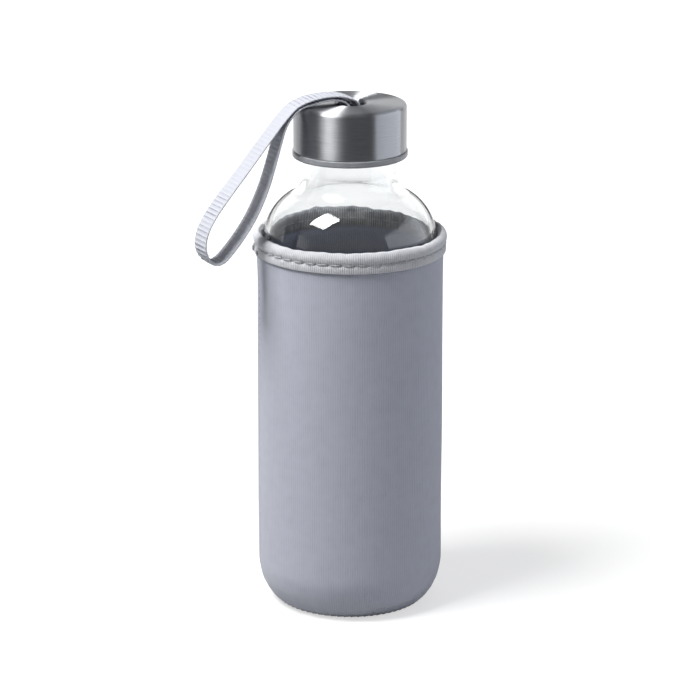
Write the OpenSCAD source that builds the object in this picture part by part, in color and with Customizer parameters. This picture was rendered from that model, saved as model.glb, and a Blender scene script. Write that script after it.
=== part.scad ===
// Glass water bottle in a cloth-faced foam sleeve, with a steel screw cap and a webbing carry loop.
// Millimetres. +Z is up. The origin is the middle of the sleeve's base, on the surface it stands on.
// The loop hangs towards -X and a little towards -Y, so -Y is the front.

/* [Glass bottle] */
// outer radius of the bottle's body
bottle_r = 32.2; // [28:0.1:40]
// thickness of the glass in the walls
glass_t = 2.3; // [1.5:0.1:4]
// outer radius of the rounded heel
heel_r = 14; // [6:0.5:18]
// height at which the shoulder starts to curve in
shoulder_z = 139; // [110:0.5:180]
// outer radius of the shoulder's curve
shoulder_r = 20.3; // [12:0.1:26]
// outer radius of the neck
neck_r = 17.2; // [14:0.1:22]
// height of the top of the neck
neck_top_z = 187; // [160:0.5:230]
// radius of the hollow curve between shoulder and neck
throat_r = 9; // [4:0.5:14]

/* [Screw thread] */
// rise of the cap for one turn
thread_lead = 4; // [2:0.5:6]
// how far the glass thread stands out of the neck
thread_h = 1.3; // [0.8:0.1:2]
// turns of thread on the glass
glass_turns = 1.6; // [1:0.1:2.5]
// turns of thread in the cap
cap_turns = 1.5; // [1:0.1:2.5]

/* [Cap] */
// outer radius of the steel shell
shell_r = 20.75; // [18:0.05:26]
// thickness of the steel
shell_t = 0.55; // [0.3:0.05:1]
// height of the top of the cap
cap_top_z = 190.65; // [170:0.05:240]
// height of the steel shell's lower edge
shell_low_z = 173.15; // [160:0.05:185]
// radius of the shell's top edge
shell_edge_r = 1.5; // [0.6:0.1:3]
// radius of the hole that the loop passes through
hole_r = 5.8; // [4:0.1:9]
// radius of the steel bar that the loop goes round
bar_r = 1.2; // [0.8:0.1:2]
// height of that bar
bar_z = 188.4; // [186:0.1:188.5]

/* [Carry loop] */
// width of the webbing
strap_w = 9; // [6:0.5:10]
// thickness of the webbing
strap_t = 1; // [0.8:0.1:1.1]

/* [Sleeve] */
// outer radius of the sleeve
sleeve_r = 34.5; // [30:0.1:42]
// thickness of the foam cloth
sleeve_t = 2; // [1.5:0.1:4]
// height of the binding's lower edge
binding_low_z = 134.9; // [110:0.1:170]
// height of the binding's top
binding_top_z = 142.7; // [115:0.1:180]
// how far the binding stands out of the sleeve
binding_out = 1.2; // [0.6:0.1:2]

/* [Hidden] */
$fa = 4;
$fs = 0.4;
gap = 0.05;
glass_low_z = 2.25;
glass_floor_z = 7;
inner_heel_r = 9.2;
body_inner_r = bottle_r - glass_t;
bore_r = neck_r - glass_t;
// the shoulder's curve and the throat's curve touch: their centres are the sum of their radii apart
shoulder_x = bottle_r - shoulder_r;
throat_x = neck_r + throat_r;
throat_reach = throat_x - shoulder_x;
throat_rise = sqrt(pow(shoulder_r + throat_r, 2) - pow(throat_reach, 2));
throat_z = shoulder_z + throat_rise;
throat_low_z = shoulder_z + throat_rise * shoulder_r / (shoulder_r + throat_r);
throat_low_x = shoulder_x + throat_reach * shoulder_r / (shoulder_r + throat_r);

thread_root = 1.1;
thread_crest = 0.45;
glass_thread_z = 174.8;
cap_thread_drop = 1.5;
thread_steps = 24;

liner_r = shell_r - shell_t - gap;
liner_bore_r = neck_r + thread_h + 0.7;
liner_rim_r = 21.2;
liner_low_z = 170.8;
liner_top_z = cap_top_z - shell_t - gap;
seal_t = 1.2;
seal_z = neck_top_z + gap;
liner_disc_z = seal_z + seal_t + gap;
well_r = 8;
well_inner_r = 6.8;
well_low_z = 180.2;
well_floor = 1.2;
bar_length = 15.2;
// the bar lies square to the loop's heading at the hole
bar_turn = 112;

binding_r = sleeve_r + binding_out;
// the binding presses the foam in a little
pressed_r = sleeve_r - 0.6;
seam_turn = 192;
seam_low_z = 18;
seam_h = 115;

// the loop's middle line, from under the bar, over the cap, down to the left and back
strap_route = [
    [0.3, 0.1, 186.5], [1.4, 0.6, 187.1], [1.8, 0.7, 188.4], [1.9, 0.8, 190.2], [0.9, 0.4, 191.6],
    [-1.5, -0.6, 192.9], [-4.9, -2.0, 193.9], [-9.2, -3.8, 194.1], [-13.5, -5.7, 193.7],
    [-17.3, -7.4, 192.8], [-20.7, -8.9, 191.2], [-24.3, -10.7, 187.7], [-30.0, -13.5, 180.6],
    [-38.0, -17.6, 170.2], [-46.0, -21.8, 160.0], [-51.0, -24.6, 152.8], [-53.3, -25.9, 147.6],
    [-53.8, -26.2, 142.6], [-52.4, -25.4, 138.7], [-50.0, -24.1, 136.7], [-47.4, -22.7, 137.2],
    [-44.5, -21.1, 139.9], [-41.0, -19.2, 144.2], [-37.3, -17.2, 149.6], [-34.0, -15.4, 155.8],
    [-31.0, -13.9, 163.2], [-28.6, -12.8, 171.0], [-26.6, -11.8, 178.2], [-24.9, -11.0, 183.9],
    [-23.1, -10.1, 187.2], [-21.1, -9.2, 189.4], [-18.7, -8.0, 191.0], [-14.5, -6.1, 192.0],
    [-9.5, -3.9, 192.9], [-5.6, -2.3, 192.6], [-3.3, -1.3, 191.7], [-2.1, -0.8, 190.2],
    [-1.8, -0.7, 188.4], [-1.4, -0.6, 187.1], [-0.3, -0.1, 186.5]];
// heading of the loop seen from above, against x: it turns towards the front as it goes out
strap_heading = [[-54, 29.5], [-36, 27], [-19, 24], [0, 22], [5, 22]];

// ---------- shared shapes ----------

// right half of the bottle's outline, drawn by how much it is drawn in from the outer surface
module bottle_half(inset, low_z, corner_r, top_z) {
    side_r = bottle_r - inset;
    arc_r = shoulder_r - inset;
    collar_r = neck_r - inset;
    hollow_r = throat_r + inset;
    corner_x = side_r - corner_r;
    corner_z = low_z + corner_r;
    translate([corner_x, corner_z]) circle(corner_r);
    translate([0, low_z]) square([corner_x, corner_r]);
    translate([0, corner_z]) square([side_r, shoulder_z - corner_z]);
    intersection() {
        translate([shoulder_x, shoulder_z]) circle(arc_r);
        translate([0, shoulder_z]) square([side_r, arc_r]);
    }
    translate([0, shoulder_z]) square([shoulder_x, arc_r]);
    translate([0, shoulder_z]) square([collar_r, top_z - shoulder_z]);
    low_x = shoulder_x + throat_reach * arc_r / (arc_r + hollow_r);
    low_step = shoulder_z + throat_rise * arc_r / (arc_r + hollow_r);
    difference() {
        translate([0, low_step]) square([low_x, throat_z - low_step]);
        translate([throat_x, throat_z]) circle(hollow_r);
    }
}

// a ridge that climbs by lead for each turn: root and crest radius, turns, height and turn of its start
module helix_ridge(root_r, crest_r, turns, start_z, start_turn) {
    steps = ceil(turns * thread_steps);
    fade = thread_steps / 8;
    // the ridge sinks away at both ends over an eighth of a turn
    rings = [for (i = [0 : steps])
        let (full = min(1, i / fade, (steps - i) / fade),
            turn = start_turn + 360 * turns * i / steps,
            z = start_z + thread_lead * turns * i / steps,
            tip = root_r + (crest_r - root_r) * (0.1 + 0.9 * full),
            half = thread_root - (thread_root - thread_crest) * (0.1 + 0.9 * full))
        for (p = [[root_r, -thread_root], [tip, -half], [tip, half], [root_r, thread_root]])
            [p[0] * cos(turn), p[0] * sin(turn), z + p[1]]];
    flip = crest_r < root_r;
    sides = [for (i = [0 : steps - 1], k = [0 : 3])
        let (a = 4 * i + k, b = 4 * i + (k + 1) % 4)
        flip ? [a, a + 4, b + 4, b] : [a, b, b + 4, a + 4]];
    ends = flip ? [[0, 1, 2, 3], [for (k = [3 : -1 : 0]) 4 * steps + k]]
        : [[3, 2, 1, 0], [for (k = [0 : 3]) 4 * steps + k]];
    polyhedron(rings, concat(sides, ends), convexity = 6);
}

// ---------- glass ----------

module glass_bottle() {
    dome_depth = 2.5;
    dome_reach = 14;
    dome_r = (pow(dome_reach, 2) + pow(dome_depth, 2)) / (2 * dome_depth);
    color("#e9eeee", 0.35)
    difference() {
        union() {
            rotate_extrude() bottle_half(0, glass_low_z, heel_r, neck_top_z);
            helix_ridge(neck_r - 0.2, neck_r + thread_h, glass_turns, glass_thread_z, 90);
        }
        rotate_extrude() bottle_half(glass_t, glass_floor_z, inner_heel_r, neck_top_z + 1);
        translate([0, 0, glass_low_z + dome_depth - dome_r]) sphere(dome_r);
    }
}

// ---------- cap ----------

// steel cup, open below, with the edge of its hole turned down
module cap_shell() {
    edge_x = shell_r - shell_edge_r;
    edge_z = cap_top_z - shell_edge_r;
    lip = 1;
    color("#b9bbbe")
    rotate_extrude() {
        translate([shell_r - shell_t, shell_low_z]) square([shell_t, edge_z - shell_low_z]);
        intersection() {
            difference() {
                translate([edge_x, edge_z]) circle(shell_edge_r);
                translate([edge_x, edge_z]) circle(shell_edge_r - shell_t);
            }
            translate([edge_x, edge_z]) square(shell_edge_r);
        }
        translate([hole_r + lip, cap_top_z - shell_t]) square([edge_x - hole_r - lip, shell_t]);
        intersection() {
            difference() {
                translate([hole_r + lip, cap_top_z - lip]) circle(lip);
                translate([hole_r + lip, cap_top_z - lip]) circle(lip - shell_t);
            }
            translate([hole_r, cap_top_z - lip]) square(lip);
        }
    }
}

// plastic insert: rim, threaded skirt, top disc and the closed well under the hole
module cap_liner() {
    hole_clear = hole_r + 1.05;
    color("#c9cccf")
    difference() {
        union() {
            rotate_extrude() polygon([
                [liner_bore_r, liner_low_z], [liner_rim_r - 0.5, liner_low_z],
                [liner_rim_r, liner_low_z + 0.5], [liner_rim_r, shell_low_z - gap - 0.2],
                [liner_rim_r - 0.2, shell_low_z - gap], [liner_r, shell_low_z - gap],
                [liner_r, liner_top_z - 1.2], [liner_r - 1.2, liner_top_z],
                [hole_clear, liner_top_z], [hole_clear, liner_top_z - 1],
                [well_inner_r, liner_top_z - 1], [well_inner_r, well_low_z + well_floor],
                [0, well_low_z + well_floor], [0, well_low_z], [well_r, well_low_z],
                [well_r, liner_disc_z], [liner_bore_r, liner_disc_z]]);
            helix_ridge(liner_bore_r + 0.2, neck_r + 0.4, cap_turns,
                glass_thread_z - cap_thread_drop, 90);
        }
        translate([0, 0, bar_z]) rotate([90, 0, bar_turn - 90]) cylinder(r = bar_r, h = bar_length,
            center = true);
    }
}

module seal_ring() {
    color("#f4f4f2")
    translate([0, 0, seal_z]) difference() {
        cylinder(r = neck_r + 0.6, h = seal_t);
        translate([0, 0, -1]) cylinder(r = bore_r - 0.6, h = seal_t + 2);
    }
}

module strap_bar() {
    color("#c2c4c6")
    translate([0, 0, bar_z]) rotate([90, 0, bar_turn - 90]) cylinder(r = bar_r, h = bar_length,
        center = true);
}

// ---------- carry loop ----------

// eight corners of the webbing's section: across its width and through its thickness
function strap_corner(k) = let (w = strap_w / 2, t = strap_t / 2, c = 0.3)
    [[-w, -t + c], [-w + c, -t], [w - c, -t], [w, -t + c],
     [w, t - c], [w - c, t], [-w + c, t], [-w, t - c]][k];

function unit(v) = v / norm(v);

module strap_loop() {
    last = len(strap_route) - 1;
    rings = [for (i = [0 : last])
        let (p = strap_route[i],
            ahead = strap_route[min(i + 1, last)] - strap_route[max(i - 1, 0)],
            heading = lookup(p[0], strap_heading),
            across = [-sin(heading), cos(heading), 0],
            through = unit(cross(across, unit(ahead))))
        for (k = [0 : 7])
            p + strap_corner(k)[0] * across + strap_corner(k)[1] * through];
    sides = [for (i = [0 : last - 1], k = [0 : 7], half = [0, 1])
        let (a = 8 * i + k, b = 8 * i + (k + 1) % 8)
        half == 0 ? [a, a + 8, b + 8] : [a, b + 8, b]];
    ends = [[for (k = [0 : 7]) k], [for (k = [7 : -1 : 0]) 8 * last + k]];
    color("#cfd1da") polyhedron(rings, concat(sides, ends), convexity = 6);
}

// ---------- sleeve ----------

// foam-cloth tube, curled in at the base and pressed thin where the binding holds it
module sleeve_body() {
    inner_r = sleeve_r - sleeve_t;
    pinched_r = sleeve_r - 1.25;
    foam_top_z = binding_top_z - 1.4;
    groove_r = 0.45;
    color("#9a9fae")
    difference() {
        rotate_extrude() polygon([
            [27.3, 0.55], [29, 1.8], [30.8, 4], [32.3, 6.7], [33.5, 10], [34.2, 13],
            [sleeve_r, 16.5], [sleeve_r, binding_low_z], [pressed_r, binding_low_z + 0.2],
            [pressed_r, foam_top_z], [pinched_r, foam_top_z], [pinched_r, binding_low_z - 0.3],
            [inner_r, binding_low_z - 1.5], [inner_r, 16.5], [32.2, 13.6], [31.5, 10.6],
            [30.4, 7.8], [29.2, 5.6], [27.6, 3.6], [25.9, 2.55]]);
        rotate([0, 0, seam_turn]) translate([sleeve_r - 0.2, 0, seam_low_z - 0.5])
            cylinder(r = groove_r, h = seam_h + 1);
    }
}

module sleeve_base() {
    color("#8d92a1") cylinder(r1 = 25.6, r2 = 24.9, h = glass_low_z - gap);
}

// tape folded over the mouth, one leg outside the foam and one inside
module mouth_binding() {
    leg_r = sleeve_r - 1.3;
    foam_top_z = binding_top_z - 1.35;
    tape_low_z = binding_low_z + 0.3;
    color("#c3c4c9")
    rotate_extrude() polygon([
        [pressed_r + gap, tape_low_z], [binding_r - 0.5, tape_low_z],
        [binding_r, binding_low_z + 1], [binding_r, binding_low_z + 4],
        [binding_r - 0.3, binding_low_z + 6], [binding_r - 0.8, binding_top_z - 0.5],
        [binding_r - 1.6, binding_top_z], [binding_r - 2.4, binding_top_z - 0.1],
        [leg_r - 0.5, binding_top_z - 0.9], [leg_r - 0.7, binding_top_z - 2],
        [leg_r - 0.7, binding_low_z + 0.4], [leg_r, binding_low_z],
        [leg_r, foam_top_z], [pressed_r + gap, foam_top_z]]);
}

// end of the tape, lapped over its start
module binding_lap() {
    span = 9;
    color("#a9aab1")
    rotate([0, 0, seam_turn - span / 2]) rotate_extrude(angle = span) polygon([
        [binding_r + gap, binding_low_z + 0.5], [binding_r + 0.5, binding_low_z + 0.5],
        [binding_r + 0.5, binding_low_z + 5.5], [binding_r + gap, binding_low_z + 5.5]]);
}

// row of thread round the binding, with its lapped end left out
module binding_thread() {
    thread_r = 0.25;
    color("#d4d5da")
    rotate([0, 0, seam_turn + 6]) rotate_extrude(angle = 348)
        translate([binding_r + gap + thread_r, binding_low_z + 3.2]) circle(thread_r);
}

// line of thread that closes the tube, sunk in the groove between its two edges
module side_seam_thread() {
    thread_r = 0.3;
    color("#7f8494")
    rotate([0, 0, seam_turn]) translate([sleeve_r - 0.35, 0, seam_low_z])
        cylinder(r = thread_r, h = seam_h);
}

// thread that sews the tube to the base
module base_seam_thread() {
    thread_r = 0.55;
    color("#868b9a")
    rotate_extrude() translate([26.4, thread_r + 0.1]) circle(thread_r);
}

glass_bottle();
cap_shell();
cap_liner();
seal_ring();
strap_bar();
strap_loop();
sleeve_body();
sleeve_base();
mouth_binding();
binding_lap();
binding_thread();
side_seam_thread();
base_seam_thread();
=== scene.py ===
# %% [markdown]
# # Glass water bottle in a cloth-faced foam sleeve
# A glass bottle with a screw cap of brushed steel, a carry loop of ribbed webbing that goes
# through a hole in the cap, and a grey sleeve of foam cloth with a bound mouth.
# Everything is in metres. Z is up, the bottle stands on z = 0 and its front faces -Y.
# The lesson goes: view, route of the loop, finishes, webbing, glass, cap, sleeve, sewing,
# studio.

# %% frame
import math

import bpy
import numpy as np
from mathutils import Matrix, Vector


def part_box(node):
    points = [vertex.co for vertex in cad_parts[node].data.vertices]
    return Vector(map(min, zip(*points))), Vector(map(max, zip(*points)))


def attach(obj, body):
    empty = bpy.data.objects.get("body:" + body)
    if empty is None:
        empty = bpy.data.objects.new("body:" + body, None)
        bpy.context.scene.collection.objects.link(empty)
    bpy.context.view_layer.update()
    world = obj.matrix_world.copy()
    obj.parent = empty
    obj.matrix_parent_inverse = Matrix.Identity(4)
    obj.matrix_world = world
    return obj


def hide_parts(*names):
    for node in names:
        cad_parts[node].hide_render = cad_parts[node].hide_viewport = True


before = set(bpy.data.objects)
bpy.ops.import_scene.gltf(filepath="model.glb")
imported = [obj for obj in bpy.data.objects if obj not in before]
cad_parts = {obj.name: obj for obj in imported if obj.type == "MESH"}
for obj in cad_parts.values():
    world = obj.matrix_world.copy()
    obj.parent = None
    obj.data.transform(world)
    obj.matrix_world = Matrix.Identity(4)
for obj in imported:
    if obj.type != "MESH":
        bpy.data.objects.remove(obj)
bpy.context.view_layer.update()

MM = 0.001
print("pieces to finish:", sorted(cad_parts))

# %% [markdown]
# ## Camera
# A long lens, well back, keeps the sides of the bottle upright. It stands 1.2 m from the
# middle of the bottle and looks down by about 17 degrees, so the top of the cap shows.

# %% camera
camera_data = bpy.data.cameras.new("studio camera")
camera_data.lens = 168.0
camera_data.sensor_width = 36.0
camera = bpy.data.objects.new("studio camera", camera_data)
bpy.context.collection.objects.link(camera)
AWAY, AIM_Z, LOOK_DOWN = 1.2174, 0.0963, 16.87
look_down = math.radians(LOOK_DOWN)
camera.location = (0, -AWAY * math.cos(look_down), AIM_Z + AWAY * math.sin(look_down))
camera.rotation_euler = (math.pi / 2 - look_down, 0, 0)
bpy.context.scene.camera = camera
print("camera:", AWAY, "m away, looking down", LOOK_DOWN, "degrees")

# %% [markdown]
# ## Small helpers
# A finish is a tree of nodes. One helper adds a node with its settings, its fixed values and
# the sockets that feed it, so each tree reads like a recipe. Colours are written the way a
# paint chart gives them, in hex, and turned to the linear values that light adds up in.

# %% helpers for colours, nodes and meshes
def linear(hex_colour):
    """The linear colour of an sRGB hex value, with alpha 1."""
    parts = [int(hex_colour[i:i + 2], 16) / 255 for i in (1, 3, 5)]
    return tuple(c / 12.92 if c <= 0.04045 else ((c + 0.055) / 1.055) ** 2.4
                 for c in parts) + (1.0,)


def add(tree, kind, links=None, values=None, stops=None, **settings):
    """One node. links feeds its inputs from nodes or sockets, values sets inputs that stay fixed,
    stops are the two (level, colour) pairs of a colour ramp."""
    node = tree.nodes.new(kind)
    for element, (level, colour) in zip(node.color_ramp.elements if stops else [], stops or []):
        element.position, element.color = level, colour
    for name, value in settings.items():
        setattr(node, name, value)
    for name, value in (values or {}).items():
        node.inputs[name].default_value = value
    for name, source in (links or {}).items():
        socket = source.outputs[0] if isinstance(source, bpy.types.Node) else source
        tree.links.new(socket, node.inputs[name])
    return node


def piece(name, points, faces, uv=None, smooth=True):
    """A mesh object at the origin; uv gives one pair for each corner of each face, in metres."""
    mesh = bpy.data.meshes.new(name)
    mesh.from_pydata([tuple(p) for p in points], [], faces)
    if uv is not None:
        layer = mesh.uv_layers.new(name="surface")
        layer.data.foreach_set("uv", np.asarray(uv, dtype=np.float32).ravel())
    mesh.polygons.foreach_set("use_smooth", [smooth] * len(mesh.polygons))
    mesh.update()
    obj = bpy.data.objects.new(name, mesh)
    bpy.context.collection.objects.link(obj)
    return obj


def arc(centre, radius, start, end, count):
    """Points on an arc in the (radius, height) plane, angles in degrees."""
    turns = np.radians(np.linspace(start, end, count))
    return [(centre[0] + radius * math.cos(a), centre[1] + radius * math.sin(a)) for a in turns]


def spaced(outline, step):
    """The same outline with a point at least every step, so that it can be bent and dented."""
    out = [outline[0]]
    for a, b in zip(outline, outline[1:]):
        parts = max(1, math.ceil(math.dist(a, b) / step))
        out += [(a[0] + (b[0] - a[0]) * k / parts, a[1] + (b[1] - a[1]) * k / parts)
                for k in range(1, parts + 1)]
    return out


def lathe(name, outline, columns, closed=True, shape=None):
    """Turns an outline in mm round Z. An outline that isn't closed starts and ends on the axis.
    shape(radius, height, angle) may move each point; it gives the new radius and height."""
    outline = np.array(outline, dtype=float)
    count = len(outline)
    angle = np.arange(columns) * 2 * np.pi / columns
    radius = np.repeat(outline[:, :1], columns, axis=1)
    height = np.repeat(outline[:, 1:], columns, axis=1)
    if shape:
        radius, height = shape(radius, height, np.repeat(angle[None, :], count, axis=0))
    grid = np.stack([radius * np.cos(angle), radius * np.sin(angle), height], axis=2) * MM
    reach = outline[:, 0].max() * MM
    steps = np.linalg.norm(np.diff(outline, axis=0), axis=1)
    run = np.concatenate([[0], np.cumsum(steps)]) * MM
    points, index = [], np.zeros((count, columns), dtype=int)
    for i in range(count):
        if outline[i, 0] < 1e-9:
            index[i, :] = len(points)
            points.append(grid[i, 0])
        else:
            index[i, :] = range(len(points), len(points) + columns)
            points.extend(grid[i])
    faces, uv = [], []
    last = count if closed else count - 1
    for i in range(last):
        j = (i + 1) % count
        top = run[j] if j else run[i] + np.linalg.norm(outline[i] - outline[j]) * MM
        for k in range(columns):
            m = (k + 1) % columns
            low, high = k * 2 * np.pi * reach / columns, (k + 1) * 2 * np.pi * reach / columns
            corners = [(index[i, k], low, run[i]), (index[i, m], high, run[i]),
                       (index[j, m], high, top), (index[j, k], low, top)]
            kept = []
            for c in corners:
                if all(c[0] != other[0] for other in kept):
                    kept.append(c)
            if len(kept) > 2:
                faces.append([int(c[0]) for c in kept])
                uv += [c[1:] for c in kept]
    obj = piece(name, points, faces, uv)
    print(name, "columns", columns, "faces", len(faces))
    return obj


def finish_piece(obj, body, material, slot, *nodes):
    """Gives a piece its finish, its body and the CAD nodes that it stands for."""
    obj.data.materials.clear()
    obj.data.materials.append(material)
    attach(obj, body)
    if nodes:
        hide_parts(*nodes)

# %% [markdown]
# ## Route of the carry loop
# The loop is flat webbing, 9 mm wide and 1 mm thick. It starts at the steel bar in the cap's
# well, comes out of the hole, crosses the cap, falls to the left in a long open bend and comes
# back up close under itself. It is stiff enough to stand out like this without resting on
# anything. The points are the middle of the webbing; a smooth curve is drawn through them.

# %% loop route
LOOP_ROUTE = np.array([
    [0.3, 0.1, 186.5], [1.4, 0.6, 187.1], [1.8, 0.7, 188.4], [1.9, 0.8, 190.2], [0.9, 0.4, 191.6],
    [-1.5, -0.6, 192.9], [-4.9, -2.0, 193.9], [-9.2, -3.8, 194.1], [-13.5, -5.7, 193.7],
    [-17.3, -7.4, 192.8], [-20.7, -8.9, 191.2], [-24.3, -10.7, 187.7], [-30.0, -13.5, 180.6],
    [-38.0, -17.6, 170.2], [-46.0, -21.8, 160.0], [-51.0, -24.6, 152.8], [-53.3, -25.9, 147.6],
    [-53.8, -26.2, 142.6], [-52.4, -25.4, 138.7], [-50.0, -24.1, 136.7], [-47.4, -22.7, 137.2],
    [-44.5, -21.1, 139.9], [-41.0, -19.2, 144.2], [-37.3, -17.2, 149.6], [-34.0, -15.4, 155.8],
    [-31.0, -13.9, 163.2], [-28.6, -12.8, 171.0], [-26.6, -11.8, 178.2], [-24.9, -11.0, 183.9],
    [-23.1, -10.1, 187.2], [-21.1, -9.2, 189.4], [-18.7, -8.0, 191.0], [-14.5, -6.1, 192.0],
    [-9.5, -3.9, 192.9], [-5.6, -2.3, 192.6], [-3.3, -1.3, 191.7], [-2.1, -0.8, 190.2],
    [-1.8, -0.7, 188.4], [-1.4, -0.6, 187.1], [-0.3, -0.1, 186.5]]) * MM
# the loop turns towards the front as it goes out: x in mm, heading in degrees
LOOP_HEADING = np.array([[-54, 29.5], [-36, 27], [-19, 24], [0, 22], [5, 22]])


def between(a, b, start, end, t):
    """Where t falls on the way from a, at start, to b, at end."""
    return ((end - t) * a + (t - start) * b) / (end - start)


def smooth_path(points, step):
    """Even steps along a curve that passes through every point (centripetal Catmull-Rom)."""
    before = 2 * points[0] - points[1]
    after = 2 * points[-1] - points[-2]
    ring = np.concatenate([[before], points, [after]])
    dense = []
    for i in range(1, len(ring) - 2):
        p = ring[i - 1:i + 3]
        knots = [0.0]
        for a, b in zip(p, p[1:]):
            knots.append(knots[-1] + max(np.linalg.norm(b - a), 1e-9) ** 0.5)
        for t in np.linspace(knots[1], knots[2], 40, endpoint=False):
            # three rounds of mixing: four points make three, three make two, two make one
            near = [between(p[k], p[k + 1], knots[k], knots[k + 1], t) for k in range(3)]
            wide = [between(near[k], near[k + 1], knots[k], knots[k + 2], t) for k in range(2)]
            dense.append(between(wide[0], wide[1], knots[1], knots[2], t))
    dense.append(points[-1])
    dense = np.array(dense)
    run = np.concatenate([[0], np.cumsum(np.linalg.norm(np.diff(dense, axis=0), axis=1))])
    marks = np.linspace(0, run[-1], int(round(run[-1] / step)) + 1)
    return np.stack([np.interp(marks, run, dense[:, k]) for k in range(3)], axis=1), run[-1]


loop_path, loop_length = smooth_path(LOOP_ROUTE, 0.28 * MM)
print("carry loop: length", round(loop_length, 4), "m,", len(loop_path), "rings")

# %% [markdown]
# ## Ribs as a rule
# Ribbed tape and webbing show the same bump again and again, so a small Geometry Nodes tree
# lifts the surface along its own normal in even waves. Each point carries how far along the
# tape it is and how strong the ribs are there, and the pitch and height are named inputs.

# %% ribbed surface tree
def group(name, inputs):
    """A Geometry Nodes tree with one geometry in and out and the named inputs."""
    tree = bpy.data.node_groups.new(name, "GeometryNodeTree")
    tree.interface.new_socket(name="Geometry", in_out="OUTPUT", socket_type="NodeSocketGeometry")
    tree.interface.new_socket(name="Geometry", in_out="INPUT", socket_type="NodeSocketGeometry")
    for label, kind in inputs:
        tree.interface.new_socket(name=label, in_out="INPUT", socket_type="NodeSocket" + kind)
    return tree, add(tree, "NodeGroupInput"), add(tree, "NodeGroupOutput")


def close_tree(tree, source, start, end):
    """Every tree ends the same way: real mesh, smooth faces, its finish."""
    real = add(tree, "GeometryNodeRealizeInstances", {"Geometry": source})
    smooth = add(tree, "GeometryNodeSetShadeSmooth", {"Geometry": real})
    last = add(tree, "GeometryNodeSetMaterial",
               {"Geometry": smooth, "Material": start.outputs["Material"]})
    tree.links.new(last.outputs[0], end.inputs[0])


def grow(obj, tree, **values):
    """Runs a tree on an object with its inputs set and keeps the result as a plain mesh."""
    modifier = obj.modifiers.new("rule", "NODES")
    modifier.node_group = tree
    keys = {s.name.lower().replace(" ", "_"): s.identifier for s in tree.interface.items_tree
            if s.in_out == "INPUT"}
    for name, value in values.items():
        modifier[keys[name]] = value
    seen = obj.evaluated_get(bpy.context.evaluated_depsgraph_get())
    mesh = bpy.data.meshes.new_from_object(seen)
    obj.modifiers.clear()
    old = obj.data
    obj.data = mesh
    mesh.name = obj.name
    bpy.data.meshes.remove(old)
    print(obj.name, "grown:", len(mesh.vertices), "points,", len(mesh.polygons), "faces")
    return obj


# a power below 1 makes each rib blunt and its groove narrow
RIB_BLUNT = 0.6
ribs, start, end = group("ribs", [("Rib pitch", "Float"), ("Rib height", "Float"),
                                  ("Material", "Material")])
along = add(ribs, "GeometryNodeInputNamedAttribute", values={"Name": "along"}, data_type="FLOAT")
strength = add(ribs, "GeometryNodeInputNamedAttribute", values={"Name": "rib"}, data_type="FLOAT")
count = add(ribs, "ShaderNodeMath", {0: along, 1: start.outputs["Rib pitch"]}, operation="DIVIDE")
turn = add(ribs, "ShaderNodeMath", {0: count}, {1: math.pi}, operation="MULTIPLY")
wave = add(ribs, "ShaderNodeMath", {0: turn}, operation="SINE")
round_top = add(ribs, "ShaderNodeMath", {0: wave}, operation="ABSOLUTE")
flat_top = add(ribs, "ShaderNodeMath", {0: round_top}, {1: RIB_BLUNT}, operation="POWER")
centred = add(ribs, "ShaderNodeMath", {0: flat_top}, {1: 0.75}, operation="SUBTRACT")
tall = add(ribs, "ShaderNodeMath", {0: centred, 1: start.outputs["Rib height"]},
           operation="MULTIPLY")
local = add(ribs, "ShaderNodeMath", {0: tall, 1: strength}, operation="MULTIPLY")
outward = add(ribs, "GeometryNodeInputNormal")
lift = add(ribs, "ShaderNodeVectorMath", {0: outward, "Scale": local}, operation="SCALE")
lifted = add(ribs, "GeometryNodeSetPosition", {"Geometry": start.outputs[0], "Offset": lift})
close_tree(ribs, lifted, start, end)
print("rib tree:", len(ribs.nodes), "nodes")


def mark(obj, name, values):
    """Stores one number for each point of a mesh."""
    layer = obj.data.attributes.new(name, "FLOAT", "POINT")
    layer.data.foreach_set("value", np.asarray(values, dtype=np.float32).ravel())

# %% [markdown]
# ## Finishes: metal, glass and moulded parts
# Each finish starts from the real material: how it reflects, how rough its surface was left
# and by which process, and what scale its marks have.

# %% brushed stainless steel
def new_finish(name, **shader):
    """A finish with its Principled shader; the values given are the same all over."""
    material = bpy.data.materials.new(name)
    material.use_nodes = True
    tree = material.node_tree
    tree.nodes.clear()
    surface = add(tree, "ShaderNodeBsdfPrincipled",
                  values={k.replace("_", " "): v for k, v in shader.items()})
    add(tree, "ShaderNodeOutputMaterial", {"Surface": surface}, name="finish")
    return material, tree, surface


def grey(level):
    """The same number in red, green and blue, for roughness and glow."""
    return (level, level, level, 1.0)


def feed(tree, surface, **sources):
    """Links what was made to a node's sockets; Base_Color stands for Base Color."""
    for name, source in sources.items():
        tree.links.new(source.outputs[0], surface.inputs[name.replace("_", " ")])


# Stainless steel sheet, spun over a form and brushed on the lathe: hair lines run round the
# cap, so bright shapes stay sharp sideways and smear across the lines.
steel, tree, surface = new_finish("brushed stainless steel", Metallic=1.0, Anisotropic=1.0,
                                  Anisotropic_Rotation=0.25)
where = add(tree, "ShaderNodeTexCoord").outputs["Object"]
flat = add(tree, "ShaderNodeVectorMath", {0: where}, {1: (1, 1, 0)}, operation="MULTIPLY")
reach = add(tree, "ShaderNodeVectorMath", {0: flat}, operation="LENGTH").outputs["Value"]
unit = add(tree, "ShaderNodeVectorMath", {0: flat}, operation="NORMALIZE")
split = add(tree, "ShaderNodeSeparateXYZ", {0: where})
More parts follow.
